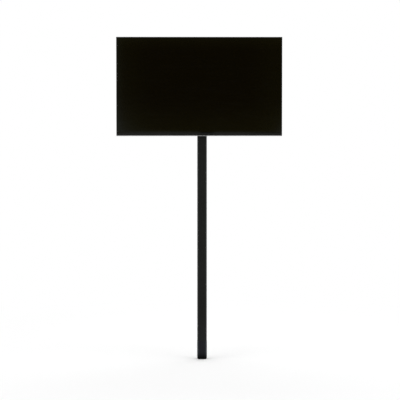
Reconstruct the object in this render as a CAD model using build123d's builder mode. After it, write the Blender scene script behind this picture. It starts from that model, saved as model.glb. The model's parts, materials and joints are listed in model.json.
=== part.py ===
from build123d import *
import os

# A sign stand: a blank laminated board on a tilting head, carried by a square tube post whose
# lower end is a spigot for a floor socket.
# Frame: +Z up, the board faces -Y and +X is on the reader's right.  The origin is the centre of
# the spigot's underside, on the post's axis.

# ---- driving dimensions, in millimetres ----

# board
BOARD_WIDTH = 550.0
BOARD_HEIGHT = 328.0
CORE_THICKNESS = 12.0
LAMINATE_THICKNESS = 0.8
BAND_THICKNESS = 2.0
NOSING_HEIGHT = 14.0
NOSING_RADIUS = 12.0
TONGUE_THICKNESS = 4.0
TONGUE_DEPTH = 5.0
EDGE_EASE = 0.8

# post
OVERALL_HEIGHT = 1077.0
TUBE_SIDE = 31.75         # one and a quarter inches
TUBE_WALL = 2.1
TUBE_CORNER_R = 3.0
SPIGOT_SIDE = 32.5
SPIGOT_LENGTH = 63.0
SPIGOT_CORNER_R = 6.5
SPIGOT_TOE_R = 6.0
PLUG_CORE_SIDE = 24.0
PLUG_RIB_THICKNESS = 3.0
SPIGOT_PLUG_LENGTH = 45.0
SPIGOT_RIB_PITCH = 14.0

# tilting head
BACK_GAP = 24.0           # from the pivot axis forward to the board's back
PLATE_WIDTH = 90.0
PLATE_HEIGHT = 70.0
PLATE_THICKNESS = 4.0
PLATE_CORNER_R = 6.0
EAR_THICKNESS = 7.0
EAR_RADIUS = 16.0
WELD_LEG = 2.0
LUG_THICKNESS = 10.0
LUG_RADIUS = 15.0
SHOULDER_HEIGHT = 5.0
SHOULDER_DROP = 21.0      # from the pivot axis down to the shoulder's top
HEAD_PLUG_LENGTH = 36.0
TILT_RANGE = 90.0
STOP_PIN_R = 2.0
STOP_PIN_ORBIT = 10.5
STOP_PIN_ANGLE = -45.0
STOP_PIN_SUNK = 8.0
STOP_PIN_SHY = 1.0        # how far the pin stops short of the ear's far side

# clamp bolt and knob
BOLT_R = 4.0
BOLT_HEAD_FLATS = 13.0
BOLT_HEAD_HEIGHT = 5.3
BOLT_REACH = 13.0         # beyond the lug's far side
WASHER_R = 8.0
INNER_WASHER = 0.8
OUTER_WASHER = 1.0
KNOB_LOBES = 5
KNOB_LOBE_R = 4.5
KNOB_LOBE_ORBIT = 11.5
KNOB_WAIST_R = 12.0
KNOB_VALLEY_R = 2.5
KNOB_LENGTH = 16.0
KNOB_EDGE_R = 1.5
BUSH_R = 6.5
BUSH_FLANGE_R = 8.5
BUSH_FLANGE = 1.5
BUSH_LENGTH = 12.0

# small fasteners
INSERT_R = 4.0
INSERT_LENGTH = 9.0
M5_R = 2.5
M5_LENGTH = 12.0
M4_R = 2.0
M4_LENGTH = 10.0
SCREW_SPACING_X = 70.0
SCREW_SPACING_Z = 46.0
HEAD_SCREW_DROPS = (10.0, 26.0)
SPIGOT_SCREW_RISE = 22.5
BUTTON_HEAD_RATIO = 1.9   # head radius over shank radius
BUTTON_HEIGHT_RATIO = 1.1
BUTTON_RECESS_SHARE = 0.6  # of the head's height: the hexagon's depth, and the crown's rounding
HEX_KEY_RATIO = 1.2       # hexagon across flats over shank radius

# fits and clearances
GLUE_FIT = 0.05           # between pieces that are fixed to each other
PIN_FIT = 0.07            # radial running fit on the pivot bolt
HOLE_CLEARANCE = 0.25     # radial, round a screw
SLIDE_GAP = 0.3           # between faces that turn past each other
BORE_SPARE = 1.0          # depth of a blind bore past the piece in it

# ---- derived dimensions ----

BOARD_THICKNESS = CORE_THICKNESS + 2 * LAMINATE_THICKNESS
PIVOT_HEIGHT = OVERALL_HEIGHT - BOARD_HEIGHT / 2
TUBE_TOP = PIVOT_HEIGHT - SHOULDER_DROP - SHOULDER_HEIGHT
TUBE_INSIDE = TUBE_SIDE - 2 * TUBE_WALL
PLUG_SIDE = TUBE_INSIDE - 2 * GLUE_FIT

CORE_WIDTH = BOARD_WIDTH - 2 * BAND_THICKNESS
CORE_HEIGHT = BOARD_HEIGHT - BAND_THICKNESS - NOSING_HEIGHT
CORE_RISE = (NOSING_HEIGHT - BAND_THICKNESS) / 2      # of the core's middle above the board's middle
EDGE_BREAK = EDGE_EASE / 2                            # on the metal pieces' rims
SIDE_BAND_HEIGHT = BOARD_HEIGHT - NOSING_HEIGHT
BOARD_BACK = -BACK_GAP
CORE_BACK = BOARD_BACK - LAMINATE_THICKNESS
CORE_FRONT = CORE_BACK - CORE_THICKNESS
BOARD_FRONT = CORE_FRONT - LAMINATE_THICKNESS

LUG_LEFT = -LUG_THICKNESS / 2
LUG_RIGHT = LUG_THICKNESS / 2
EAR_RIGHT = LUG_LEFT - INNER_WASHER - SLIDE_GAP
EAR_LEFT = EAR_RIGHT - EAR_THICKNESS
BOARD_X = (EAR_LEFT + EAR_RIGHT) / 2                  # the ear stands on the board's centre line
BUSH_LEFT = LUG_RIGHT + OUTER_WASHER + SLIDE_GAP
KNOB_LEFT = BUSH_LEFT + BUSH_FLANGE
STOP_PIN_END = EAR_LEFT + STOP_PIN_SHY

SCREW_PLACES = [
    (sx * SCREW_SPACING_X / 2, sz * SCREW_SPACING_Z / 2) for sx in (-1, 1) for sz in (-1, 1)
]


def board_plane(y):
    """Upright plane at depth y, on the board's centre line and pivot height, facing the reader."""
    return Plane(origin=(BOARD_X, y, PIVOT_HEIGHT), x_dir=(1, 0, 0), z_dir=(0, -1, 0))


def pivot_plane(x):
    """Plane across the pivot axis at x: its own x runs back, along +Y, and its own y runs up."""
    return Plane(origin=(x, 0, PIVOT_HEIGHT), x_dir=(0, 1, 0), z_dir=(1, 0, 0))


def rear_plane(x, y, z):
    """Upright plane that faces backwards, along +Y, for screws driven in from behind."""
    return Plane(origin=(x, y, z), x_dir=(1, 0, 0), z_dir=(0, 1, 0))


def button_screws(seat, places, shank_r, shank_length):
    """Button-head socket screws: heads stand on the seat plane and shanks run in behind it."""
    head_height = shank_r * BUTTON_HEIGHT_RATIO
    recess_depth = head_height * BUTTON_RECESS_SHARE
    with BuildSketch(seat) as heads:
        with Locations(*places):
            Circle(shank_r * BUTTON_HEAD_RATIO)
    extrude(heads.sketch, amount=head_height)
    crowns = edges().filter_by(GeomType.CIRCLE).group_by(Axis(seat.origin, seat.z_dir))[-1]
    fillet(crowns, recess_depth)
    with BuildSketch(seat) as shanks:
        with Locations(*places):
            Circle(shank_r)
    extrude(shanks.sketch, amount=-shank_length)
    with BuildSketch(seat.offset(head_height)) as recesses:
        with Locations(*places):
            RegularPolygon(shank_r * HEX_KEY_RATIO / 2, 6, major_radius=False)
    extrude(recesses.sketch, amount=-recess_depth, mode=Mode.SUBTRACT)


def ribbed_plug(start, length, rib_heights):
    """Square stem with ribs that grip the tube's inside; start is the plane it grows from."""
    with BuildSketch(start) as stem:
        Rectangle(PLUG_CORE_SIDE, PLUG_CORE_SIDE)
    extrude(stem.sketch, amount=length)
    for height in rib_heights:
        with BuildSketch(start.offset(height)) as rib:
            RectangleRounded(PLUG_SIDE, PLUG_SIDE, TUBE_CORNER_R - TUBE_WALL)
        extrude(rib.sketch, amount=PLUG_RIB_THICKNESS)


os.makedirs("parts", exist_ok=True)

# ---- board ----

# Core of wood fibre board, grooved along its lower edge for the nosing's tongue.
with BuildPart() as core_board:
    with BuildSketch(board_plane(CORE_BACK)):
        with Locations((0, CORE_RISE)):
            Rectangle(CORE_WIDTH, CORE_HEIGHT)
    extrude(amount=CORE_THICKNESS)
    with BuildSketch(board_plane(CORE_BACK)):
        with Locations(*SCREW_PLACES):
            Circle(INSERT_R)
    extrude(amount=INSERT_LENGTH + BORE_SPARE, mode=Mode.SUBTRACT)
    with BuildSketch(board_plane((CORE_BACK + CORE_FRONT + TONGUE_THICKNESS) / 2 + GLUE_FIT)):
        with Locations((0, CORE_RISE - CORE_HEIGHT / 2)):
            Rectangle(CORE_WIDTH, 2 * (TONGUE_DEPTH + GLUE_FIT))
    extrude(amount=TONGUE_THICKNESS + 2 * GLUE_FIT, mode=Mode.SUBTRACT)
core_board.part.label = "core_board"
export_step(core_board.part, "parts/core_board.step")

# Face laminate: the blank surface that takes the notice.
with BuildPart() as face_laminate:
    with BuildSketch(board_plane(CORE_FRONT)):
        with Locations((0, CORE_RISE)):
            Rectangle(CORE_WIDTH, CORE_HEIGHT)
    extrude(amount=LAMINATE_THICKNESS)
face_laminate.part.label = "face_laminate"
export_step(face_laminate.part, "parts/face_laminate.step")

# Back laminate, drilled where the bracket's screws pass through it.
with BuildPart() as back_laminate:
    with BuildSketch(board_plane(BOARD_BACK)):
        with Locations((0, CORE_RISE)):
            Rectangle(CORE_WIDTH, CORE_HEIGHT)
        with Locations(*SCREW_PLACES):
            Circle(M5_R + HOLE_CLEARANCE, mode=Mode.SUBTRACT)
    extrude(amount=LAMINATE_THICKNESS)
back_laminate.part.label = "back_laminate"
export_step(back_laminate.part, "parts/back_laminate.step")

# Side edge bands, from the top of the nosing to the top of the board.
for side, name in ((-1, "edge_band_left"), (1, "edge_band_right")):
    with BuildPart() as side_band:
        with BuildSketch(board_plane(BOARD_BACK)):
            with Locations((side * (BOARD_WIDTH - BAND_THICKNESS) / 2, NOSING_HEIGHT / 2)):
                Rectangle(BAND_THICKNESS, SIDE_BAND_HEIGHT)
        extrude(amount=BOARD_THICKNESS)
        outer_face = side_band.faces().sort_by(Axis.X)[-1 if side > 0 else 0]
        foot_edge = outer_face.edges().sort_by(Axis.Z)[0]
        fillet([edge for edge in outer_face.edges() if edge != foot_edge], EDGE_EASE)
    side_band.part.label = name
    export_step(side_band.part, f"parts/{name}.step")

# Top edge band, between the side bands.
with BuildPart() as edge_band_top:
    with BuildSketch(board_plane(BOARD_BACK)):
        with Locations((0, (BOARD_HEIGHT - BAND_THICKNESS) / 2)):
            Rectangle(CORE_WIDTH, BAND_THICKNESS)
    extrude(amount=BOARD_THICKNESS)
    fillet(edge_band_top.edges().filter_by(Axis.X).group_by(Axis.Z)[-1], EDGE_EASE)
edge_band_top.part.label = "edge_band_top"
export_step(edge_band_top.part, "parts/edge_band_top.step")

# Nosing: the board's rolled lower edge, let into the core by a tongue.
with BuildPart() as bottom_nosing:
    with BuildSketch(board_plane(BOARD_BACK)):
        with Locations((0, (NOSING_HEIGHT - BOARD_HEIGHT) / 2)):
            Rectangle(BOARD_WIDTH, NOSING_HEIGHT)
    extrude(amount=BOARD_THICKNESS)
    for lower_edge, radius in ((0, NOSING_RADIUS), (-1, EDGE_EASE)):
        lower_edges = bottom_nosing.edges().filter_by(Axis.X).group_by(Axis.Z)[0]
        fillet(lower_edges.sort_by(Axis.Y)[lower_edge], radius)
    for end in (0, -1):
        chamfer(bottom_nosing.faces().sort_by(Axis.X)[end].edges().group_by(Axis.Z)[0], EDGE_BREAK)
    with BuildSketch(board_plane((CORE_BACK + CORE_FRONT + TONGUE_THICKNESS) / 2)):
        with Locations((0, NOSING_HEIGHT - BOARD_HEIGHT / 2)):
            Rectangle(CORE_WIDTH, 2 * TONGUE_DEPTH)
    extrude(amount=TONGUE_THICKNESS)
bottom_nosing.part.label = "bottom_nosing"
export_step(bottom_nosing.part, "parts/bottom_nosing.step")

# Threaded inserts, sunk flush in the back of the core.
with BuildPart() as threaded_inserts:
    with BuildSketch(board_plane(CORE_BACK)):
        with Locations(*SCREW_PLACES):
            Circle(INSERT_R - GLUE_FIT)
            Circle(M5_R + GLUE_FIT, mode=Mode.SUBTRACT)
    extrude(amount=INSERT_LENGTH)
threaded_inserts.part.label = "threaded_inserts"
export_step(threaded_inserts.part, "parts/threaded_inserts.step")

# ---- tilting head, the board's half ----

# Hinge bracket: a screw-on plate with an ear welded square to it; the ear's curved slot runs over
# the stop pin and ends the tilt at both limits.
with BuildPart() as hinge_bracket:
    with BuildSketch(board_plane(BOARD_BACK + PLATE_THICKNESS)):
        RectangleRounded(PLATE_WIDTH, PLATE_HEIGHT, PLATE_CORNER_R)
        with Locations(*SCREW_PLACES):
            Circle(M5_R + HOLE_CLEARANCE, mode=Mode.SUBTRACT)
    extrude(amount=PLATE_THICKNESS)
    chamfer(hinge_bracket.faces().sort_by(Axis.Y)[-1].outer_wire().edges(), EDGE_BREAK)
    with BuildSketch(pivot_plane(EAR_LEFT)):
        Circle(EAR_RADIUS)
        with Locations(((BOARD_BACK + PLATE_THICKNESS) / 2, 0)):
            Rectangle(-(BOARD_BACK + PLATE_THICKNESS), 2 * EAR_RADIUS)
    extrude(amount=EAR_THICKNESS)
    ear_sides = hinge_bracket.faces().filter_by(Axis.X).filter_by_position(
        Axis.X, EAR_LEFT - GLUE_FIT, EAR_RIGHT + GLUE_FIT
    )
    chamfer(ear_sides.edges() - ear_sides.edges().filter_by(Axis.Z), EDGE_BREAK)
    plate_back = BOARD_BACK + PLATE_THICKNESS
    root_edges = hinge_bracket.edges().filter_by(Axis.Z).filter_by_position(
        Axis.Y, plate_back - GLUE_FIT, plate_back + GLUE_FIT
    ).filter_by_position(Axis.X, EAR_LEFT - GLUE_FIT, EAR_RIGHT + GLUE_FIT)
    chamfer(root_edges, WELD_LEG)
    with BuildSketch(pivot_plane(EAR_LEFT)):
        Circle(BOLT_R + GLUE_FIT)
        with BuildLine(mode=Mode.PRIVATE) as slot_path:
            CenterArc((0, 0), STOP_PIN_ORBIT, STOP_PIN_ANGLE, TILT_RANGE)
        SlotArc(slot_path.edge(), 2 * (STOP_PIN_R + SLIDE_GAP))
    extrude(amount=EAR_THICKNESS, mode=Mode.SUBTRACT)
hinge_bracket.part.label = "hinge_bracket"
export_step(hinge_bracket.part, "parts/hinge_bracket.step")

with BuildPart() as bracket_screws:
    seat = rear_plane(BOARD_X, BOARD_BACK + PLATE_THICKNESS, PIVOT_HEIGHT)
    button_screws(seat, SCREW_PLACES, M5_R, M5_LENGTH)
bracket_screws.part.label = "bracket_screws"
export_step(bracket_screws.part, "parts/bracket_screws.step")

# Pivot bolt: hexagon head against the ear, plain shank through the lug to the knob.
with BuildPart() as pivot_bolt:
    with BuildSketch(pivot_plane(EAR_LEFT)):
        RegularPolygon(BOLT_HEAD_FLATS / 2, 6, major_radius=False)
    extrude(amount=-BOLT_HEAD_HEIGHT)
    with BuildSketch(pivot_plane(EAR_LEFT)):
        Circle(BOLT_R)
    extrude(amount=LUG_RIGHT + BOLT_REACH - EAR_LEFT)
    chamfer(pivot_bolt.edges().sort_by(Axis.X)[-1], EDGE_EASE)
    chamfer(pivot_bolt.faces().sort_by(Axis.X)[0].edges(), EDGE_BREAK)
pivot_bolt.part.label = "pivot_bolt"
export_step(pivot_bolt.part, "parts/pivot_bolt.step")

# ---- post, with the head's other half ----

# Square tube with screw holes in its back wall.
with BuildPart() as post_tube:
    with BuildSketch(Plane.XY.offset(SPIGOT_LENGTH)):
        RectangleRounded(TUBE_SIDE, TUBE_SIDE, TUBE_CORNER_R)
        RectangleRounded(TUBE_INSIDE, TUBE_INSIDE, TUBE_CORNER_R - TUBE_WALL, mode=Mode.SUBTRACT)
    extrude(amount=TUBE_TOP - SPIGOT_LENGTH)
    screw_heights = [TUBE_TOP - drop for drop in HEAD_SCREW_DROPS]
    screw_heights.append(SPIGOT_LENGTH + SPIGOT_SCREW_RISE)
    for height in screw_heights:
        with BuildSketch(rear_plane(0, TUBE_SIDE / 2, height)):
            Circle(M4_R + HOLE_CLEARANCE)
        extrude(amount=-TUBE_WALL, mode=Mode.SUBTRACT)
post_tube.part.label = "post_tube"
export_step(post_tube.part, "parts/post_tube.step")

# Spigot: the moulded lower end that drops into a floor socket, with a ribbed plug in the tube.
with BuildPart() as foot_spigot:
    with BuildSketch(Plane.XY):
        RectangleRounded(SPIGOT_SIDE, SPIGOT_SIDE, SPIGOT_CORNER_R)
    extrude(amount=SPIGOT_LENGTH)
    fillet(foot_spigot.faces().sort_by(Axis.Z)[0].edges(), SPIGOT_TOE_R)
    rib_span = int((SPIGOT_PLUG_LENGTH - PLUG_RIB_THICKNESS) // SPIGOT_RIB_PITCH)
    rib_rises = [SPIGOT_RIB_PITCH * rib for rib in range(rib_span + 1)]
    ribbed_plug(Plane.XY.offset(SPIGOT_LENGTH), SPIGOT_PLUG_LENGTH, rib_rises)
    with BuildSketch(rear_plane(0, PLUG_CORE_SIDE / 2, SPIGOT_LENGTH + SPIGOT_SCREW_RISE)):
        Circle(M4_R + GLUE_FIT)
    extrude(amount=-M4_LENGTH, mode=Mode.SUBTRACT)
foot_spigot.part.label = "foot_spigot"
export_step(foot_spigot.part, "parts/foot_spigot.step")

with BuildPart() as foot_screw:
    foot_seat = rear_plane(0, TUBE_SIDE / 2, SPIGOT_LENGTH + SPIGOT_SCREW_RISE)
    button_screws(foot_seat, [(0, 0)], M4_R, M4_LENGTH)
foot_screw.part.label = "foot_screw"
export_step(foot_screw.part, "parts/foot_screw.step")

# Post head: plug in the tube, shoulder on its rim, and the round-topped lug that takes the bolt.
with BuildPart() as post_head:
    ribbed_plug(
        Plane.XY.offset(TUBE_TOP - HEAD_PLUG_LENGTH),
        HEAD_PLUG_LENGTH,
        (0, HEAD_PLUG_LENGTH - PLUG_RIB_THICKNESS),
    )
    with BuildSketch(Plane.XY.offset(TUBE_TOP)):
        RectangleRounded(TUBE_SIDE, TUBE_SIDE, TUBE_CORNER_R)
    extrude(amount=SHOULDER_HEIGHT)
    chamfer(post_head.faces().sort_by(Axis.Z)[-1].edges(), EDGE_EASE)
    with BuildSketch(pivot_plane(LUG_LEFT)):
        Circle(LUG_RADIUS)
        with Locations((0, -SHOULDER_DROP / 2 - EDGE_EASE / 2)):
            Rectangle(2 * LUG_RADIUS - 2 * EDGE_EASE, SHOULDER_DROP + EDGE_EASE)
    extrude(amount=LUG_THICKNESS)
    lug_rims = post_head.edges().filter_by(
        lambda edge: edge.geom_type == GeomType.CIRCLE and abs(edge.radius - LUG_RADIUS) < GLUE_FIT
    )
    chamfer(lug_rims, EDGE_BREAK)
    with BuildSketch(pivot_plane(LUG_LEFT)):
        Circle(BOLT_R + PIN_FIT)
    extrude(amount=LUG_THICKNESS, mode=Mode.SUBTRACT)
    with BuildSketch(pivot_plane(LUG_LEFT)):
        with PolarLocations(STOP_PIN_ORBIT, 1, STOP_PIN_ANGLE):
            Circle(STOP_PIN_R + GLUE_FIT)
    extrude(amount=STOP_PIN_SUNK + GLUE_FIT, mode=Mode.SUBTRACT)
    for drop in HEAD_SCREW_DROPS:
        with BuildSketch(rear_plane(0, TUBE_SIDE / 2, TUBE_TOP - drop)):
            Circle(M4_R + GLUE_FIT)
        extrude(amount=-M4_LENGTH - GLUE_FIT, mode=Mode.SUBTRACT)
post_head.part.label = "post_head"
export_step(post_head.part, "parts/post_head.step")

with BuildPart() as head_screws:
    head_seat = rear_plane(0, TUBE_SIDE / 2, TUBE_TOP)
    button_screws(head_seat, [(0, drop) for drop in HEAD_SCREW_DROPS], M4_R, M4_LENGTH)
head_screws.part.label = "head_screws"
export_step(head_screws.part, "parts/head_screws.step")

# Stop pin: pressed into the lug, it stands out into the ear's curved slot.
with BuildPart() as stop_pin:
    with BuildSketch(pivot_plane(LUG_LEFT + STOP_PIN_SUNK)):
        with PolarLocations(STOP_PIN_ORBIT, 1, STOP_PIN_ANGLE):
            Circle(STOP_PIN_R)
    extrude(amount=STOP_PIN_END - LUG_LEFT - STOP_PIN_SUNK)
    chamfer(stop_pin.edges().filter_by(GeomType.CIRCLE), EDGE_BREAK)
stop_pin.part.label = "stop_pin"
export_step(stop_pin.part, "parts/stop_pin.step")

# Friction washers, one on each side of the lug.
washers = (
    ("friction_washer_inner", LUG_LEFT - INNER_WASHER, INNER_WASHER),
    ("friction_washer_outer", LUG_RIGHT, OUTER_WASHER),
)
for name, washer_left, washer_thickness in washers:
    with BuildPart() as friction_washer:
        with BuildSketch(pivot_plane(washer_left)):
            Circle(WASHER_R)
            Circle(BOLT_R + PIN_FIT, mode=Mode.SUBTRACT)
        extrude(amount=washer_thickness)
    friction_washer.part.label = name
    export_step(friction_washer.part, f"parts/{name}.step")

# ---- clamp knob ----

# Knob bush: flanged metal insert that carries the thread.
with BuildPart() as knob_bush:
    with BuildSketch(pivot_plane(BUSH_LEFT)):
        Circle(BUSH_FLANGE_R)
    extrude(amount=BUSH_FLANGE)
    with BuildSketch(pivot_plane(BUSH_LEFT)):
        Circle(BUSH_R)
    extrude(amount=BUSH_LENGTH)
    with BuildSketch(pivot_plane(BUSH_LEFT)):
        Circle(BOLT_R + PIN_FIT)
    extrude(amount=BUSH_LENGTH, mode=Mode.SUBTRACT)
knob_bush.part.label = "knob_bush"
export_step(knob_bush.part, "parts/knob_bush.step")

# Knob: lobed moulding over the bush, closed at its outer end.
with BuildPart() as clamp_knob:
    with BuildSketch(pivot_plane(KNOB_LEFT)) as knob_outline:
        Circle(KNOB_WAIST_R)
        with PolarLocations(KNOB_LOBE_ORBIT, KNOB_LOBES):
            Circle(KNOB_LOBE_R)
        fillet(knob_outline.vertices(), KNOB_VALLEY_R)
    extrude(amount=KNOB_LENGTH)
    for end in (0, -1):
        fillet(clamp_knob.faces().sort_by(Axis.X)[end].edges(), KNOB_EDGE_R)
    with BuildSketch(pivot_plane(KNOB_LEFT)):
        Circle(BUSH_R + GLUE_FIT)
    extrude(amount=BUSH_LENGTH - BUSH_FLANGE + BORE_SPARE, mode=Mode.SUBTRACT)
clamp_knob.part.label = "clamp_knob"
export_step(clamp_knob.part, "parts/clamp_knob.step")
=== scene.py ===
import json
import math

import bpy
import numpy as np
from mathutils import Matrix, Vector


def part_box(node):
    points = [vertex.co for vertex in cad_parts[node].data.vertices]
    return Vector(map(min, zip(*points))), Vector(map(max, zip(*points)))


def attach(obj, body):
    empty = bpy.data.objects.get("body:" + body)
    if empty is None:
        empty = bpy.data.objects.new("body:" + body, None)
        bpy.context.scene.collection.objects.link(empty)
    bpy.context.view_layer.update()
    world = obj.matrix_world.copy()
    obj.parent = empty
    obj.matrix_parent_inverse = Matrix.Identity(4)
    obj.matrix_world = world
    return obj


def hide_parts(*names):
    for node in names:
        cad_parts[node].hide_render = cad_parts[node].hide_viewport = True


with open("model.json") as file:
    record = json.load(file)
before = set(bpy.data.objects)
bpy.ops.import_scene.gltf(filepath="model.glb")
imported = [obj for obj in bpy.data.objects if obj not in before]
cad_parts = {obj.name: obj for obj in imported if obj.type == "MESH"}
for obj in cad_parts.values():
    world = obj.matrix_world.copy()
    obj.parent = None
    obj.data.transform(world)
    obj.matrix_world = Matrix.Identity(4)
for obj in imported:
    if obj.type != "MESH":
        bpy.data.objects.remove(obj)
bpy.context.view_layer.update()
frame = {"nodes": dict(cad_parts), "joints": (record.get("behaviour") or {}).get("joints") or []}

# Lengths are in metres and angles in degrees unless a name says otherwise.
# The board faces -Y, +X is on the reader's right and the post's foot stands at z = 0.
MM = 0.001
BLACK = (0.0, 0.0, 0.0)
WHITE = (1.0, 1.0, 1.0)

# ---- camera ----
CAMERA_PLACE = (-0.0574, -5.0, 0.7723)
CAMERA_YAW = 0.580
CAMERA_PITCH = -2.718
CAMERA_LENS_MM = 134.42
CAMERA_REACH = 100

# ---- floor: it shows its own colour and shadow near the post, and plain white far from it ----
FLOOR_REACH = 9.0
FLOOR_WHITE = 0.86
FLOOR_DULL_SHARE = 0.985
FLOOR_NEAR = 0.5
FLOOR_FAR = 1.6

# ---- room: its brightness, and how far a direction leans to +Y where the backdrop starts ----
BACKDROP_WHITE = 1.0
READER_SIDE_DARK = 0.004
ROOM_FILL = 0.62
BACKDROP_EDGE = 0.0
BACKDROP_FULL = 0.5

# ---- softboxes: place, side of the square, power in watts ----
SOFTBOX_AIM = (0, 0, 0.55)
SOFTBOXES = {
    "softbox_left": ((-2.6, -2.0, 2.0), 3.6, 35),
    "softbox_right": ((2.8, -1.6, 1.5), 3.6, 36),
    "softbox_above": ((0, 0.4, 3.2), 3.0, 45),
    "softbox_behind": ((0.6, 3.0, 1.8), 3.6, 28),
}

# ---- stations along the curved stretches of the new pieces ----
CORNER_POINTS = 12
BAR_END_STATIONS = 6
BAR_SPANS = 12
TOE_STATIONS = 12
SPIGOT_RIM_STATIONS = 5
SPIGOT_SIDE_SPANS = 13
KNOB_POINTS = 120
KNOB_RIM_STATIONS = 7
BEAD_POINTS = 20
BEAD_STATIONS = 90

# ---- rolled lower edge ----
EASE = 0.8 * MM
SEAM_RADIUS = EASE / 8
LEAST_RADIUS = EASE / 20
NOSING_RADIUS = 12 * MM
LIP_LOW = 0.4 * MM
LIP_HIGH = 2.0 * MM
LIP_BLUR = 0.3 * MM
LIP_ENDS = 5 * MM
# The post's painted shade on the lower edge: its middle, and how far to each side of it
# the shade is full and where it ends.
POST_SHADE_MIDDLE_X = 16 * MM
POST_SHADE_FULL = 11 * MM
POST_SHADE_REACH = 34 * MM
# From here on towards the right end, the lower edge is painted darker, as painted shade.
RIGHT_SHADE_FROM_X = 120 * MM
RIGHT_SHADE_FULL_X = 190 * MM

# ---- spigot ----
SPIGOT_TOE_R = 6 * MM
SPIGOT_CORNER_R = 6.5 * MM
PLUG_HALF = 12 * MM
RIB_HALF = 13.725 * MM
RIB_THICKNESS = 3 * MM
RIB_PITCH = 14 * MM

# ---- knob: its shares are of its radius, and for the flanks of its reach along the axis ----
KNOB_LOBES = 5
KNOB_LOBE_POWER = 0.75
KNOB_WAIST_R = 12 * MM
KNOB_BORE_R = 6.55 * MM
KNOB_BORE_DEPTH = 11.5 * MM
KNOB_EDGE_R = 1.8 * MM
KNOB_CROWN_FALL = 0.6 * MM
KNOB_AXIS_SHARE = 0.02
KNOB_FLANK_SHARES = (0.3, 0.45, 0.6, 0.75)
KNOB_DOME_SHARES = (0.72, 0.58, 0.5)
# The dimple in the crown, as pairs of a depth below the crown's top and a share.
KNOB_DIMPLE = ((0.2 * MM, 0.46), (0.9 * MM, 0.42), (1.0 * MM, 0.30), (0.8 * MM, KNOB_AXIS_SHARE))

# ---- bolt, ear, plate and the weld beads at the ear's root ----
BOLT_HEAD_HEIGHT = 5.3 * MM
EAR_THICKNESS = 7 * MM
PLATE_THICKNESS = 4 * MM
BEAD_R = 1.9 * MM
BEAD_HALF_LENGTH = 15 * MM
BEAD_OFF_EAR = 0.35 * MM
BEAD_OFF_PLATE = 0.3 * MM
BEAD_WANDER = 0.25 * MM
# The beads' waves, in radians of turn over half a bead, and their depth as a share of the radius.
BEAD_WANDER_TURN = 5
BEAD_RIPPLE_TURN = 44
BEAD_RIPPLE_DEPTH = 0.07
BEAD_SECOND_WAVE = 0.35
BEAD_SECOND_PHASE = 0.9
# The bead is full over most of its length and thins out over its ends.
BEAD_END_POWER = 6
BEAD_END_LEAST = 0.02


# ---------------------------------------------------------------- surfaces

def ring_mesh(name, rings, sharp_angle=40):
    """A closed skin through a stack of closed rings.

    rings is an array of rings by points by 3.  Each ring joins the next by one quad per point,
    the last point of a ring joins its first, and a fan to the middle of the first and of the
    last ring closes the two ends.  The faces point outwards: where the skin's volume comes out
    negative, their winding is turned round.
    """
    rings = np.asarray(rings, float)
    count, around = rings.shape[:2]
    middles = rings[[0, -1]].mean(axis=1)
    points = np.concatenate([rings.reshape(-1, 3), middles])
    row, column = np.meshgrid(np.arange(count - 1), np.arange(around), indexing="ij")
    here = row * around + column
    beside = row * around + (column + 1) % around
    quads = np.stack([here, beside, beside + around, here + around], axis=-1).reshape(-1, 4)
    step = np.arange(around)
    after = (step + 1) % around
    first, last = count * around, count * around + 1
    low_fan = np.stack([after, step, np.full(around, first)], axis=-1)
    top = (count - 1) * around
    high_fan = np.stack([top + step, top + after, np.full(around, last)], axis=-1)
    triangles = np.concatenate([quads[:, [0, 1, 2]], quads[:, [0, 2, 3]], low_fan, high_fan])
    corner_a, corner_b, corner_c = (points[triangles[:, k]] for k in range(3))
    volume = np.einsum("ij,ij->i", corner_a, np.cross(corner_b, corner_c)).sum()
    if volume < 0:
        quads, low_fan, high_fan = quads[:, ::-1], low_fan[:, ::-1], high_fan[:, ::-1]
    faces = [*quads.tolist(), *low_fan.tolist(), *high_fan.tolist()]
    mesh = bpy.data.meshes.new(name)
    mesh.from_pydata(points.tolist(), [], faces)
    mesh.shade_smooth()
    mesh.set_sharp_from_angle(angle=math.radians(sharp_angle))
    piece = bpy.data.objects.new(name, mesh)
    bpy.context.scene.collection.objects.link(piece)
    return piece


def rounded_outline(half_a, half_b, radii):
    """A rectangle with rounded corners as points by 2, anticlockwise.

    Each corner is a quarter circle of its own radius round a centre set in by that radius from
    both sides.  radii go (+a, +b), (-a, +b), (-a, -b), (+a, -b).
    """
    signs = ((1, 1), (-1, 1), (-1, -1), (1, -1))
    arcs = []
    for corner, ((sign_a, sign_b), radius) in enumerate(zip(signs, radii)):
        turn = math.pi / 2 * (corner + np.linspace(0, 1, CORNER_POINTS))
        centre = np.array([sign_a * (half_a - radius), sign_b * (half_b - radius)])
        arcs.append(centre + radius * np.stack([np.cos(turn), np.sin(turn)], axis=-1))
    return np.concatenate(arcs)


def eased_ends(low, high, radius):
    """Stations along a bar with rounded ends: their places, and how far each section is drawn in.

    Near an end the section draws in by radius times one minus the cosine of the turn, while
    the station lies radius times one minus its sine inside the end.
    """
    turn = np.linspace(math.pi / 2, 0, BAR_END_STATIONS)
    inward = radius * (1 - np.cos(turn))
    offset = radius * (1 - np.sin(turn))
    middle = np.linspace(low + radius, high - radius, BAR_SPANS + 1)[1:-1]
    places = np.concatenate([low + offset, middle, (high - offset)[::-1]])
    draws = np.concatenate([inward, np.zeros(len(middle)), inward[::-1]])
    return places, draws


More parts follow.
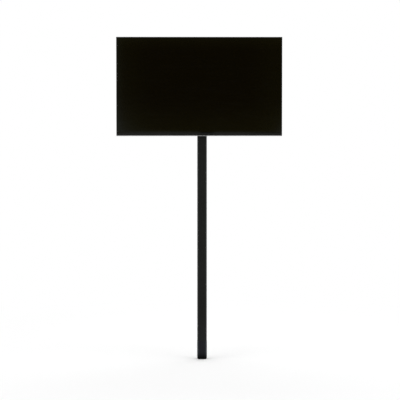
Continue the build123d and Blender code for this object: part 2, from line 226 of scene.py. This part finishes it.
def rolled_nosing():
    """The board's rolled lower edge: one section carried along X, with eased ends.

    The section is a rectangle whose lower front corner is a large quarter circle, whose lower
    back corner is eased and whose upper corners are all but square, against the board.  At
    each station all its sides and radii draw in by the same amount.
    """
    low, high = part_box("bottom_nosing")
    laminate_low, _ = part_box("back_laminate")
    half_y = (high.y - low.y) / 2
    half_z = (laminate_low.z - low.z) / 2
    corner_radii = (SEAM_RADIUS, SEAM_RADIUS, NOSING_RADIUS, EASE)
    places, draws = eased_ends(low.x, high.x, EASE)
    rings = []
    for place, draw in zip(places, draws):
        radii = [max(radius - draw, LEAST_RADIUS) for radius in corner_radii]
        outline = rounded_outline(half_y - draw, half_z - draw, radii)
        rings.append(np.column_stack([
            np.full(len(outline), place),
            outline[:, 0] + (low.y + high.y) / 2,
            outline[:, 1] + low.z + half_z,
        ]))
    return ring_mesh("rolled_nosing", rings)


def spigot_moulding():
    """The moulded foot: rounded squares stacked up the post's axis, then its ribbed plug.

    Over the toe the half side is drawn in by the toe radius times one minus the sine of the
    turn, at a height of that radius times one minus its cosine.  Above it the sides are
    straight up to an eased rim, and the plug's stem carries square ribs at an even pitch.
    """
    low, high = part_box("foot_spigot")
    tube_low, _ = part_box("post_tube")
    half = (high.x - low.x) / 2
    toe = np.linspace(0, 1, TOE_STATIONS) * math.pi / 2
    side_top = tube_low.z - EASE / 2
    side = np.linspace(SPIGOT_TOE_R, side_top, SPIGOT_SIDE_SPANS + 1)[1:]
    rim = (np.linspace(0, 1, SPIGOT_RIM_STATIONS) * math.pi / 2)[1:]
    heights = [
        *(SPIGOT_TOE_R * (1 - np.cos(toe))),
        *side,
        *(tube_low.z - EASE / 2 * (1 - np.sin(rim))),
    ]
    halves = [
        *(half - SPIGOT_TOE_R * (1 - np.sin(toe))),
        *np.full(len(side), half),
        *(half - EASE / 2 * (1 - np.cos(rim))),
    ]
    plug = []
    for rib in np.arange(tube_low.z, high.z, RIB_PITCH):
        top = rib + RIB_THICKNESS
        plug += [(rib, PLUG_HALF), (rib, RIB_HALF), (top, RIB_HALF), (top, PLUG_HALF)]
    # The first rib stands on the foot and the last one ends the plug.
    for height, half_side in plug[1:-1]:
        heights.append(height)
        halves.append(half_side)
    rings = []
    for height, half_side in zip(heights, halves):
        corner = max(SPIGOT_CORNER_R - (half - half_side), EASE)
        outline = rounded_outline(half_side, half_side, [corner] * 4)
        rings.append(np.column_stack([outline, np.full(len(outline), height)]))
    return ring_mesh("spigot_moulding", rings)


def knob_moulding():
    """The clamp knob: a lobed skin round the pivot axis, open over its metal bush.

    At the angle t round the axis the full radius is the waist plus the lobe height times
    (0.5 + 0.5 cos 5t) to the power 0.75.  Each ring has its place along the axis, its share of
    that radius and the share of the lobes that it keeps: the bush's bore, the near rim, the
    lobes' flanks, the far rim, the crown's dome and the dimple in its middle.  The dome falls,
    and its lobes fade in, with the square of the share.
    """
    low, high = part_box("clamp_knob")
    pivot = frame["joints"][0]["pos_m"]
    reach = high.x - low.x
    lobe_height = (high.z - pivot[2]) - KNOB_WAIST_R
    angles = np.linspace(0, 2 * math.pi, KNOB_POINTS, endpoint=False)
    lobes = lobe_height * (0.5 + 0.5 * np.cos(KNOB_LOBES * angles)) ** KNOB_LOBE_POWER
    bore_share = KNOB_BORE_R / KNOB_WAIST_R
    edge_share = KNOB_EDGE_R / KNOB_WAIST_R
    rounding = [
        (KNOB_EDGE_R * (1 - math.sin(turn)), 1 - edge_share * (1 - math.cos(turn)))
        for turn in np.linspace(0, math.pi / 2, KNOB_RIM_STATIONS)
    ]
    crown = reach - KNOB_CROWN_FALL
    stations = [
        (KNOB_BORE_DEPTH, KNOB_AXIS_SHARE, 0.0),
        (KNOB_BORE_DEPTH, bore_share, 0.0),
        (0.0, bore_share, 0.0),
        *[(inset, share, 1.0) for inset, share in rounding[::-1]],
        *[(reach * share, 1.0, 1.0) for share in KNOB_FLANK_SHARES],
        *[(crown - inset, share, 1.0) for inset, share in rounding],
        *[(reach - KNOB_CROWN_FALL * share ** 2, share, share ** 2) for share in KNOB_DOME_SHARES],
        *[(reach - depth, share, 0.0) for depth, share in KNOB_DIMPLE],
    ]
    rings = []
    for along, share, lobed in stations:
        radius = share * (KNOB_WAIST_R + lobed * lobes)
        rings.append(np.column_stack([
            np.full(len(angles), low.x + along),
            pivot[1] + radius * np.cos(angles),
            pivot[2] + radius * np.sin(angles),
        ]))
    return ring_mesh("knob_moulding", rings, sharp_angle=50)


def weld_bead(name, root_x, side):
    """One rippled weld bead up the root of the hinge ear, on one side of it.

    The bead is a round section carried up Z.  Its radius swells and sinks with the sum of two
    sines, its line wanders a little, and both ends thin out.
    """
    pivot = frame["joints"][0]["pos_m"]
    plate_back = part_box("back_laminate")[1].y + PLATE_THICKNESS
    along = np.linspace(-1, 1, BEAD_STATIONS)
    second_wave = np.sin(2 * BEAD_RIPPLE_TURN * along + BEAD_SECOND_PHASE)
    ripple = np.sin(BEAD_RIPPLE_TURN * along) + BEAD_SECOND_WAVE * second_wave
    thinning = np.sqrt(np.clip(1 - along ** BEAD_END_POWER, BEAD_END_LEAST, 1))
    radius = BEAD_R * thinning * (1 + BEAD_RIPPLE_DEPTH * ripple)
    wander = BEAD_WANDER * np.sin(BEAD_WANDER_TURN * along + side)
    turn = np.linspace(0, 2 * math.pi, BEAD_POINTS, endpoint=False)
    centre_x = root_x + side * (BEAD_OFF_EAR + wander)
    rings = np.stack([
        centre_x[:, None] + radius[:, None] * np.cos(turn),
        plate_back + BEAD_OFF_PLATE + radius[:, None] * np.sin(turn),
        np.broadcast_to(pivot[2] + along[:, None] * BEAD_HALF_LENGTH, (len(along), len(turn))),
    ], axis=-1)
    return ring_mesh(name, rings, sharp_angle=70)


# ---------------------------------------------------------------- shader words

class Value:
    """A number socket that can be used in Python sums: each operator adds one Math node."""

    def __init__(self, nodes, socket):
        self.nodes = nodes
        self.socket = socket

    def math(self, operation, *others):
        """A Math node whose first term is this value."""
        return self.nodes.math(operation, self, *others)

    def __add__(self, other):
        return self.math("ADD", other)

    __radd__ = __add__

    def __mul__(self, other):
        return self.math("MULTIPLY", other)

    __rmul__ = __mul__

    def __sub__(self, other):
        return self.math("SUBTRACT", other)

    def __rsub__(self, other):
        return self.nodes.math("SUBTRACT", other, self)

    def __pow__(self, other):
        return self.math("POWER", other)

    def __abs__(self):
        return self.math("ABSOLUTE")

    def fade(self, reach):
        """1 at zero, falling off to 1/e at reach and on towards 0."""
        return (self * (-1 / reach)).math("EXPONENT")

    def step(self, low, high):
        """0 below low, 1 above high, and a smooth rise between them; high may be the lower."""
        ranged = self.nodes.node(
            "ShaderNodeMapRange",
            {"interpolation_type": "SMOOTHSTEP", "clamp": True},
            {"Value": self, "From Min": low, "From Max": high},
        )
        return Value(self.nodes, ranged.outputs["Result"])


class Nodes:
    """Adds nodes to one node tree and links them."""

    def __init__(self, tree):
        self.tree = tree

    def node(self, kind, settings=None, sockets=None):
        """Adds a node of a type: its settings first, then the values or links of its sockets."""
        made = self.tree.nodes.new(kind)
        for key, setting in (settings or {}).items():
            setattr(made, key, setting)
        for key, value in (sockets or {}).items():
            self.put(made.inputs[key], value)
        return made

    def put(self, socket, value):
        """Links a socket or a Value to an input, or writes a plain number or colour into it."""
        if isinstance(value, Value):
            value = value.socket
        if isinstance(value, bpy.types.NodeSocket):
            self.tree.links.new(value, socket)
        elif isinstance(value, tuple) and len(value) == 3 and socket.type == "RGBA":
            socket.default_value = (*value, 1)
        else:
            socket.default_value = value

    def math(self, operation, *terms):
        """One Math node of Values and plain numbers."""
        made = self.node("ShaderNodeMath", {"operation": operation}, dict(enumerate(terms)))
        return Value(self, made.outputs[0])

    def split(self, vector):
        """The X, Y and Z of a vector."""
        parts = self.node("ShaderNodeSeparateXYZ", None, {"Vector": vector})
        return [Value(self, parts.outputs[axis]) for axis in "XYZ"]


class Finish(Nodes):
    """One node material, built round a Principled shader and the piece's own place in metres."""

    def __init__(self, name):
        self.material = bpy.data.materials.new(name)
        self.material.use_nodes = True
        super().__init__(self.material.node_tree)
        self.shader = self.tree.nodes["Principled BSDF"]

    def object_place(self):
        """The point's place in the object's own metres, as a vector."""
        return self.node("ShaderNodeTexCoord").outputs["Object"]

    def place(self):
        """X, Y and Z of the point, in the object's own metres."""
        return self.split(self.object_place())

    def stretched(self, scale):
        """Object coordinates with each axis multiplied, for grain that runs one way."""
        sockets = {"Vector": self.object_place(), "Scale": scale}
        return self.node("ShaderNodeMapping", {"vector_type": "POINT"}, sockets).outputs["Vector"]

    def noise(self, size, detail=2.0, roughness=0.5, stretch=(1, 1, 1), distortion=0.0):
        """Soft noise from 0 to 1 whose blotches are about size metres across."""
        sockets = {
            "Vector": self.stretched(stretch),
            "Scale": 1 / size,
            "Detail": detail,
            "Roughness": roughness,
            "Distortion": distortion,
        }
        return Value(self, self.node("ShaderNodeTexNoise", None, sockets).outputs["Fac"])

    def cells(self, size):
        """Distance to the nearest of a scatter of points about size metres apart, as a share of size."""
        sockets = {"Vector": self.object_place(), "Scale": 1 / size}
        return Value(self, self.node("ShaderNodeTexVoronoi", None, sockets).outputs["Distance"])

    def blend(self, mask, colour_a, colour_b):
        """colour_a where the mask is 0 and colour_b where it is 1."""
        made = self.node("ShaderNodeMix", {"data_type": "RGBA"}, {0: mask, 6: colour_a, 7: colour_b})
        return made.outputs[2]

    def bump(self, height, depth, strength=1.0, under=None):
        """A surface normal from a height of 0 to 1 that stands for depth metres."""
        sockets = {"Height": height, "Distance": depth, "Strength": strength}
        if under is not None:
            sockets["Normal"] = under
        return self.node("ShaderNodeBump", None, sockets).outputs["Normal"]

    def surface(self, **sockets):
        """Sets the Principled shader; a name's underscores stand for spaces."""
        for name, value in sockets.items():
            self.put(self.shader.inputs[name.replace("_", " ")], value)
        return self.material


# ---------------------------------------------------------------- finishes

def post_shade_mask(x):
    """1 over the stretch of the lower edge where the post's painted shade falls, and 0 beside it."""
    return abs(x - POST_SHADE_MIDDLE_X).step(POST_SHADE_REACH, POST_SHADE_FULL)


def corner_distance(x, y, half):
    """How far a square section's point lies from its nearest corner, as abs x plus abs y counts it."""
    return 2 * half - (abs(x) + abs(y))


def face_laminate_finish():
    """Deep brown-black laminate: fine pebble, wiped streaks and faint finger marks.

    It is painted warmer and lighter towards its margins, most of all towards the bottom, as a painted
    reflection of the white room, and a painted grey sheen lies along the left edge, in the lower
    corners and faintly along the top.  Its lowest few millimetres are painted paler still, as the
    floor's painted reflection, more so to the left, and hardly at all where the post's painted shade
    falls.
    """
    f = Finish("face_laminate_black")
    x, _, z = f.place()
    low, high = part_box("face_laminate")
    brown_black = (0.0030, 0.0021, 0.0002)
    finger_marked = (0.0020, 0.0014, 0.0002)
    sheen_brown = (0.0060, 0.0051, 0.0009)
    edge_sheen_grey = (0.0135, 0.0145, 0.0125)
    low_edge_sheen_olive = (0.0120, 0.0125, 0.0090)
    pebble = f.noise(0.8 * MM, detail=3.0)
    wave = f.noise(90 * MM, detail=1.0)
    marks = f.noise(35 * MM, detail=4.0, distortion=0.6).step(0.56, 0.78)
    wiped = f.noise(12 * MM, detail=3.0, stretch=(0.12, 1, 1)).step(0.45, 0.8)
    from_left, from_right, from_below, from_above = x - low.x, high.x - x, z - low.z, high.z - z
    # Painted reflection: the face is painted warmer and lighter towards its margins, most of all towards
    # the bottom.
    handled_and_sheen = (
        0.66 * from_below.step(120 * MM, -30 * MM)
        + 0.42 * from_above.step(50 * MM, 0)
        + 0.34 * from_left.step(130 * MM, 0)
        + 0.32 * from_right.step(130 * MM, 0)
    )
    # Painted sheen: a grey sheen painted along the left edge, in the lower corners and faintly along the
    # top.
    edge_sheen = (
        0.92 * from_left.fade(38 * MM) * from_below.fade(50 * MM)
        + 0.38 * from_left.fade(10 * MM)
        + 0.55 * from_right.fade(20 * MM) * from_below.fade(30 * MM)
        + 0.12 * from_above.fade(8 * MM)
    )
    # Painted reflection of the floor in the lowest few millimetres, more to the left, held back where
    # the post's painted shade falls.
    painted_sheen = from_below.fade(2.5 * MM) * (1 - 0.9 * post_shade_mask(x))
    more_to_the_left = 0.45 + 0.35 * x.step(20 * MM, -60 * MM)
    colour = f.blend(marks * 0.5, brown_black, finger_marked)
    colour = f.blend(handled_and_sheen.math("MINIMUM", 1.0), colour, sheen_brown)
    colour = f.blend(edge_sheen * (0.9 + 0.2 * wiped), colour, edge_sheen_grey)
    colour = f.blend(more_to_the_left * painted_sheen, colour, low_edge_sheen_olive)
    ripple = f.bump(wave, 0.05 * MM, 0.4)
    return f.surface(
        Base_Color=colour, Roughness=0.16 + 0.05 * wiped + 0.04 * marks, Specular_IOR_Level=0.14,
        Normal=f.bump(pebble, 0.03 * MM, 0.4, ripple),
    )


def nosing_finish():
    """The face laminate rolled under the lower edge: the same black, with a painted highlight on its
    lip.

    The painted highlight is a pale line along the front of the lip, with a ragged border, and it dies
    out before the ends and the back.  Above it the roll is painted lighter towards the face, as a
    painted sheen, and darker near the post, as the post's painted shade, and the right end is painted
    darker, as shade, up to its last few millimetres.
    """
    f = Finish("nosing_laminate")
    x, y, z = f.place()
    low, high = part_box("bottom_nosing")
    laminate_black = (0.0034, 0.0028, 0.0018)
    drawn_paler = (0.0050, 0.0045, 0.0034)
    upper_sheen = (0.0082, 0.0080, 0.0060)
    post_shade_black = (0.0009, 0.0009, 0.0000)
    right_shade_black = (0.0016, 0.0016, 0.0002)
    lip_highlight_grey = (0.36, 0.36, 0.36)
    pebble = f.noise(0.7 * MM, detail=3.0)
    drawn = f.noise(20 * MM, detail=2.0, stretch=(0.2, 1, 1))
    ragged = 0.6 * MM * (f.noise(3 * MM, detail=3.0) - 0.5)
    height = z - low.z + ragged
    right_end_shade = x.step(RIGHT_SHADE_FROM_X, RIGHT_SHADE_FULL_X) * (1 - (high.x - x).fade(8 * MM))
    lip = height.step(LIP_HIGH + LIP_BLUR, LIP_HIGH - LIP_BLUR) * height.step(0, LIP_LOW)
    between_ends = x.step(low.x, low.x + LIP_ENDS) * x.step(high.x, high.x - LIP_ENDS)
    front = y.step(high.y - 0.5 * MM, high.y - 2.5 * MM)
    colour = f.blend(drawn.step(0.35, 0.7), laminate_black, drawn_paler)
    # Painted sheen: the roll is painted lighter towards the face.
    colour = f.blend(height.step(6 * MM, 13 * MM), colour, upper_sheen)
    # Painted shade of the post: the roll is darker near the post.
    colour = f.blend(0.95 * post_shade_mask(x), colour, post_shade_black)
    # Painted shade: the right end of the lower edge is darker, except for its last few millimetres.
    colour = f.blend(0.7 * right_end_shade, colour, right_shade_black)
    # Painted highlight: the pale line along the front of the lip, where the edge catches the floor's
    # light.
    colour = f.blend(lip * between_ends * front * (0.85 + 0.15 * drawn), colour, lip_highlight_grey)
    return f.surface(
        Base_Color=colour, Roughness=0.20 + 0.08 * drawn, Specular_IOR_Level=0.12,
        Normal=f.bump(pebble, 0.01 * MM, 0.15),
    )


def edge_band_finish():
    """Satin plastic edging: fine milling lines across it and a slightly paler, worn ease."""
    f = Finish("edge_band_satin")
    _, y, _ = f.place()
    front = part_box("edge_band_left")[0].y
    satin_black = (0.0050, 0.0048, 0.0036)
    rubbed_paler = (0.0085, 0.0082, 0.0068)
    milled = f.noise(0.5 * MM, detail=2.0, stretch=(0.5, 0.1, 1))
    patches = f.noise(12 * MM, detail=3.0).step(0.4, 0.7)
    near_front = y.step(front + 1.4 * MM, front)
    colour = f.blend(near_front * (0.5 + 0.5 * patches), satin_black, rubbed_paler)
    return f.surface(
        Base_Color=colour, Roughness=0.34 + 0.1 * milled, Specular_IOR_Level=0.20,
        Normal=f.bump(milled, 0.02 * MM, 0.4),
    )


def back_laminate_finish():
    """Matt balancing laminate: fine linen-like press texture, scuffs and a dusty bloom."""
    f = Finish("back_laminate_matt")
    matt_black = (0.0105, 0.0100, 0.0092)
    dusty_bloom = (0.0150, 0.0145, 0.0135)
    scuffed = (0.030, 0.029, 0.027)
    upright_threads = f.noise(0.9 * MM, detail=1.0, stretch=(1, 1, 0.35))
    level_threads = f.noise(0.9 * MM, detail=1.0, stretch=(0.35, 1, 1))
    scuff = f.noise(6 * MM, detail=5.0, stretch=(0.06, 1, 1), distortion=0.4).step(0.66, 0.74)
    bloom = f.noise(120 * MM, detail=3.0).step(0.35, 0.75)
    colour = f.blend(bloom, matt_black, dusty_bloom)
    colour = f.blend(scuff * 0.5, colour, scuffed)
    return f.surface(
        Base_Color=colour, Roughness=0.58 + 0.1 * bloom - 0.1 * scuff, Specular_IOR_Level=0.35,
        Normal=f.bump((upright_threads + level_threads) * 0.5, 0.16 * MM, 0.7),
    )


def powder_coat_finish(name, corners=True, peel=1.3 * MM, tint=(0.0096, 0.0100, 0.0088)):
    """Satin powder coat: orange peel in soft patches, and a sparse darker speckle.

    With corners it is the square post's coat, with a painted highlight along the post's corners,
    most of all on the right, and scuffed by handling in its lowest part.
    """
    f = Finish(name)
    x, y, z = f.place()
    darker, paler, pitted = (tuple(channel * share for channel in tint) for share in (0.86, 1.12, 0.4))
    corner_highlight = (0.0270, 0.0290, 0.0280)
    scuffed_foot = (0.019, 0.019, 0.022)
    orange_peel = f.noise(peel, detail=1.5)
    fine = f.noise(0.35 * MM, detail=2.0)
    patches = f.noise(50 * MM, detail=3.0, stretch=(1, 1, 0.4))
    speckle = f.cells(1.1 * MM).step(0.20, 0.06)
    mottled = patches.step(0.3, 0.7) * 0.6 + orange_peel.step(0.35, 0.65) * 0.4
    colour = f.blend(mottled, darker, paler)
    colour = f.blend(speckle * 0.6, colour, pitted)
    if corners:
        low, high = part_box("post_tube")
        half = (high.x - low.x) / 2
        # Painted highlight along the post's rounded corners, stronger on the right.
        painted_sheen = corner_distance(x, y, half).step(6.0 * MM, 2.0 * MM) * (0.8 + 0.4 * patches)
        more_on_the_right = 0.76 + 0.24 * x.step(-half, half)
        handled_and_sheen = z.step(160 * MM, 70 * MM) * 0.5
        colour = f.blend(painted_sheen * more_on_the_right, colour, corner_highlight)
        colour = f.blend(handled_and_sheen * patches, colour, scuffed_foot)
    return f.surface(
        Base_Color=colour, Specular_IOR_Level=0.10,
        Roughness=0.40 + 0.08 * patches + 0.08 * fine - 0.03 * speckle,
        Normal=f.bump(orange_peel * 0.8 + fine * 0.2 - speckle * 0.1, 0.22 * MM, 0.6),
    )


def spigot_finish():
    """Moulded nylon foot: spark-eroded grain, scuffs up the sides, painted highlights along the corners
    and painted shade over the toe.
    """
    f = Finish("spigot_nylon")
    x, y, z = f.place()
    low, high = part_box("foot_spigot")
    half = (high.x - low.x) / 2
    nylon_black = (0.0112, 0.0116, 0.0138)
    nylon_paler = (0.0142, 0.0146, 0.0172)
    scuffed = (0.024, 0.024, 0.027)
    corner_highlight = (0.045, 0.053, 0.058)
    shaded_toe_black = (0.0006, 0.0006, 0.0002)
    grain = f.noise(0.45 * MM, detail=3.0, roughness=0.7)
    scuffs = f.noise(4 * MM, detail=4.0, stretch=(1, 1, 0.12)).step(0.58, 0.72)
    mottled = f.noise(15 * MM, detail=2.0)
    toe = z.step(26 * MM, 1 * MM)
    # Painted highlight along the foot's corners, stronger on the right.
    painted_sheen = corner_distance(x, y, half).step(7.0 * MM, 2.5 * MM)
    more_on_the_right = 0.6 + 0.4 * x.step(-half, half)
    colour = f.blend(mottled, nylon_black, nylon_paler)
    colour = f.blend(scuffs * 0.35, colour, scuffed)
    colour = f.blend(painted_sheen * more_on_the_right, colour, corner_highlight)
    # Painted shade: the toe is darker towards the floor.
    colour = f.blend(toe, colour, shaded_toe_black)
    return f.surface(
        Base_Color=colour, Roughness=0.5 + 0.12 * grain + 0.08 * toe, Specular_IOR_Level=0.06,
        Normal=f.bump(grain, 0.12 * MM, 0.6),
    )


def from_pivot(y, z):
    """A point's distance from the pivot axis, which runs along X."""
    pivot = frame["joints"][0]["pos_m"]
    return (y * y + (z - pivot[2]) ** 2) ** 0.5


def knob_finish():
    """Moulded knob plastic: fine leathery grain, with the lobes' tops worn smoother."""
    f = Finish("knob_nylon")
    _, y, z = f.place()
    moulded_black = (0.0110, 0.0110, 0.0115)
    handled_paler = (0.0200, 0.0200, 0.0205)
    grain = f.noise(0.5 * MM, detail=3.0, roughness=0.65)
    handled_and_sheen = from_pivot(y, z).step(13.0 * MM, 15.6 * MM)
    colour = f.blend(handled_and_sheen * 0.6, moulded_black, handled_paler)
    return f.surface(
        Base_Color=colour, Roughness=0.52 - 0.16 * handled_and_sheen + 0.10 * grain,
        Normal=f.bump(grain, 0.12 * MM, 0.6),
    )


def weld_finish():
    """Painted-over weld: the powder coat pools between the ripples."""
    f = Finish("weld_paint")
    thin_paint = (0.0100, 0.0104, 0.0098)
    pooled_paint = (0.0165, 0.0168, 0.0160)
    peel = f.noise(0.8 * MM, detail=2.0)
    pooled = f.noise(3.0 * MM, detail=2.0).step(0.35, 0.65)
    return f.surface(
        Base_Color=f.blend(pooled, thin_paint, pooled_paint), Roughness=0.38 + 0.1 * peel,
        Normal=f.bump(peel, 0.12 * MM, 0.6),
    )


def black_screw_finish():
    """Black-oxided steel: oily variation in colour and sheen with a few bright nicks."""
    f = Finish("screw_black_oxide")
    oxide_black = (0.030, 0.030, 0.034)
    oxide_paler = (0.060, 0.059, 0.062)
    bare_steel = (0.28, 0.28, 0.29)
    oily = f.noise(2.2 * MM, detail=3.0)
    nicks = f.noise(0.5 * MM, detail=4.0).step(0.68, 0.74)
    colour = f.blend(oily, oxide_black, oxide_paler)
    colour = f.blend(nicks * 0.6, colour, bare_steel)
    return f.surface(
        Base_Color=colour, Metallic=0.85, Roughness=0.34 + 0.2 * oily,
        Normal=f.bump(oily, 0.03 * MM, 0.3),
    )


def zinc_finish():
    """Zinc-plated steel: bluish, cloudy spangle with fine turned rings round the pivot axis."""
    f = Finish("zinc_plated_steel")
    _, y, z = f.place()
    zinc_blue = (0.46, 0.47, 0.50)
    zinc_pale = (0.66, 0.66, 0.67)
    ring_pitch = 0.35 * MM
    cloudy = f.noise(1.8 * MM, detail=3.0)
    rings = (from_pivot(y, z) * (2 * math.pi / ring_pitch)).math("SINE") * 0.5 + 0.5
    return f.surface(
        Base_Color=f.blend(cloudy, zinc_blue, zinc_pale), Metallic=1.0, Roughness=0.26 + 0.16 * cloudy,
        Normal=f.bump(rings * 0.6 + cloudy * 0.4, 0.02 * MM, 0.35),
    )


def brass_finish():
    """Turned brass, dulled in patches."""
    f = Finish("brass_turned")
    fresh_brass = (0.62, 0.45, 0.20)
    dull_brass = (0.42, 0.29, 0.13)
    dulled = f.noise(2.0 * MM, detail=3.0)
    turned = f.noise(0.25 * MM, detail=1.0, stretch=(1, 0.2, 0.2))
    return f.surface(
        Base_Color=f.blend(dulled, fresh_brass, dull_brass), Metallic=1.0,
        Roughness=0.28 + 0.2 * dulled, Normal=f.bump(turned, 0.02 * MM, 0.3),
    )


def washer_finish():
    """Natural nylon washers, cloudy and finely grained."""
    f = Finish("washer_nylon")
    natural_nylon = (0.55, 0.53, 0.47)
    cloudy_nylon = (0.66, 0.64, 0.58)
    cloud = f.noise(3.0 * MM, detail=3.0)
    fine = f.noise(0.4 * MM, detail=2.0)
    return f.surface(
        Base_Color=f.blend(cloud, natural_nylon, cloudy_nylon), Roughness=0.42 + 0.1 * cloud,
        Normal=f.bump(fine, 0.03 * MM, 0.4),
    )


def core_finish():
    """Wood fibre board: a felted brown of short fibres and paler flecks."""
    f = Finish("fibre_board")
    fibre_brown = (0.27, 0.18, 0.10)
    fibre_tan = (0.46, 0.34, 0.21)
    fleck_tan = (0.58, 0.46, 0.31)
    fibres = f.noise(1.2 * MM, detail=6.0, roughness=0.7, stretch=(0.4, 1, 0.7))
    flecks = f.cells(2.0 * MM).step(0.25, 0.10)
    colour = f.blend(fibres, fibre_brown, fibre_tan)
    colour = f.blend(flecks * 0.4, colour, fleck_tan)
    return f.surface(
        Base_Color=colour, Roughness=0.82 + 0.1 * fibres, Normal=f.bump(fibres, 0.15 * MM, 0.6),
    )


# ---------------------------------------------------------------- dressing

def dress(node, material):
    """Gives a carried-over CAD node its finish."""
    slots = frame["nodes"][node].data.materials
    slots.clear()
    slots.append(material)


def add_piece(piece, body, material, replaced=()):
    """Puts a new piece on its body, with its finish and the CAD nodes that it stands for."""
    piece.data.materials.append(material)
    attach(piece, body)
    if replaced:
        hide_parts(*replaced)


def dress_nodes():
    """Finishes for the CAD nodes that stay as they are."""
    bracket_coat = powder_coat_finish("powder_coat_bracket", corners=False, peel=1.0 * MM)
    head_coat = powder_coat_finish(
        "painted_casting", corners=False, peel=1.8 * MM, tint=(0.0140, 0.0145, 0.0140)
    )
    edging = edge_band_finish()
    screws = black_screw_finish()
    zinc = zinc_finish()
    brass = brass_finish()
    nylon = washer_finish()
    finishes = {
        "face_laminate": face_laminate_finish(),
        "back_laminate": back_laminate_finish(),
        "core_board": core_finish(),
        "edge_band_left": edging,
        "edge_band_right": edging,
        "edge_band_top": edging,
        "threaded_inserts": brass,
        "hinge_bracket": bracket_coat,
        "bracket_screws": screws,
        "pivot_bolt": zinc,
        "post_tube": powder_coat_finish("powder_coat_tube"),
        "foot_screw": screws,
        "post_head": head_coat,
        "head_screws": screws,
        "stop_pin": zinc,
        "friction_washer_inner": nylon,
        "friction_washer_outer": nylon,
        "knob_bush": brass,
    }
    for node, material in finishes.items():
        dress(node, material)


def add_pieces():
    """The finer forms: three that stand for a CAD node, and the two weld beads."""
    add_piece(rolled_nosing(), "board", nosing_finish(), ["bottom_nosing"])
    add_piece(spigot_moulding(), "post", spigot_finish(), ["foot_spigot"])
    add_piece(knob_moulding(), "knob", knob_finish(), ["clamp_knob"])
    weld_paint = weld_finish()
    ear_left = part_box("pivot_bolt")[0].x + BOLT_HEAD_HEIGHT
    ear_right = ear_left + EAR_THICKNESS
    add_piece(weld_bead("weld_bead_left", ear_left, -1), "board", weld_paint)
    add_piece(weld_bead("weld_bead_right", ear_right, 1), "board", weld_paint)


# ---------------------------------------------------------------- studio

def place_camera():
    """A long lens in front of the sign, turned and tipped a little."""
    data = bpy.data.cameras.new("camera")
    data.lens = CAMERA_LENS_MM
    data.clip_end = CAMERA_REACH
    camera = bpy.data.objects.new("camera", data)
    camera.location = CAMERA_PLACE
    camera.rotation_euler = (math.radians(90 + CAMERA_PITCH), 0, math.radians(-CAMERA_YAW))
    bpy.context.scene.collection.objects.link(camera)
    bpy.context.scene.camera = camera


def lay_floor():
    """A white floor that takes the object's shadow; far off, the camera sees it as plain white."""
    r = FLOOR_REACH
    mesh = bpy.data.meshes.new("floor")
    mesh.from_pydata([(-r, -r, 0), (r, -r, 0), (r, r, 0), (-r, r, 0)], [], [(0, 1, 2, 3)])
    floor = bpy.data.objects.new("floor", mesh)
    bpy.context.scene.collection.objects.link(floor)
    f = Finish("floor_white")
    clean = (FLOOR_WHITE,) * 3
    duller = (FLOOR_WHITE * FLOOR_DULL_SHARE,) * 3
    colour = f.blend(f.noise(600 * MM, detail=1.0), clean, duller)
    tooth = f.noise(4 * MM, detail=2.0)
    x, y, _ = f.place()
    far_off = ((x * x + y * y) ** 0.5).step(FLOOR_NEAR, FLOOR_FAR)
    seen = Value(f, f.node("ShaderNodeLightPath").outputs["Is Camera Ray"])
    plain_white = seen * far_off
    f.surface(
        Base_Color=f.blend(plain_white, colour, BLACK), Roughness=0.9, Specular_IOR_Level=0.0,
        Emission_Color=f.blend(plain_white, BLACK, WHITE), Emission_Strength=1.0,
        Normal=f.bump(tooth, 0.1 * MM, 0.2),
    )
    mesh.materials.append(f.material)


def light_world():
    """A room that the camera sees as white all round, and that lights the object with an even fill.

    In the object's gloss the room is white behind the object and dark on the reader's side.
    """
    world = bpy.data.worlds.new("studio")
    world.use_nodes = True
    bpy.context.scene.world = world
    w = Nodes(world.node_tree)
    background = world.node_tree.nodes["Background"]
    _, backwards, _ = w.split(w.node("ShaderNodeTexCoord").outputs["Generated"])
    behind = backwards.step(BACKDROP_EDGE, BACKDROP_FULL)
    rays = w.node("ShaderNodeLightPath")
    seen, glossy, through = (
        Value(w, rays.outputs[f"Is {kind} Ray"]) for kind in ("Camera", "Glossy", "Transmission")
    )
    in_gloss = READER_SIDE_DARK + behind * (BACKDROP_WHITE - READER_SIDE_DARK)
    shown = seen.math("MAXIMUM", through)
    fill = (1 - glossy) * ROOM_FILL + glossy * in_gloss
    strength = shown * BACKDROP_WHITE + (1 - shown) * fill
    w.put(background.inputs["Strength"], strength)
    w.put(background.inputs["Color"], WHITE)


def softbox(name, place, size, power):
    """A square soft light at a place, turned towards the object."""
    data = bpy.data.lights.new(name, "AREA")
    data.size = size
    data.energy = power
    lamp = bpy.data.objects.new(name, data)
    lamp.location = place
    towards = np.array(SOFTBOX_AIM, float) - np.array(place, float)
    flat = math.hypot(towards[0], towards[1])
    lamp.rotation_euler = (math.atan2(flat, -towards[2]), 0, math.atan2(-towards[0], towards[1]))
    bpy.context.scene.collection.objects.link(lamp)


place_camera()
lay_floor()
light_world()
for box_name, (box_place, box_side, box_power) in SOFTBOXES.items():
    softbox(box_name, box_place, box_side, box_power)
dress_nodes()
add_pieces()

bpy.context.scene.view_settings.view_transform = "Standard"
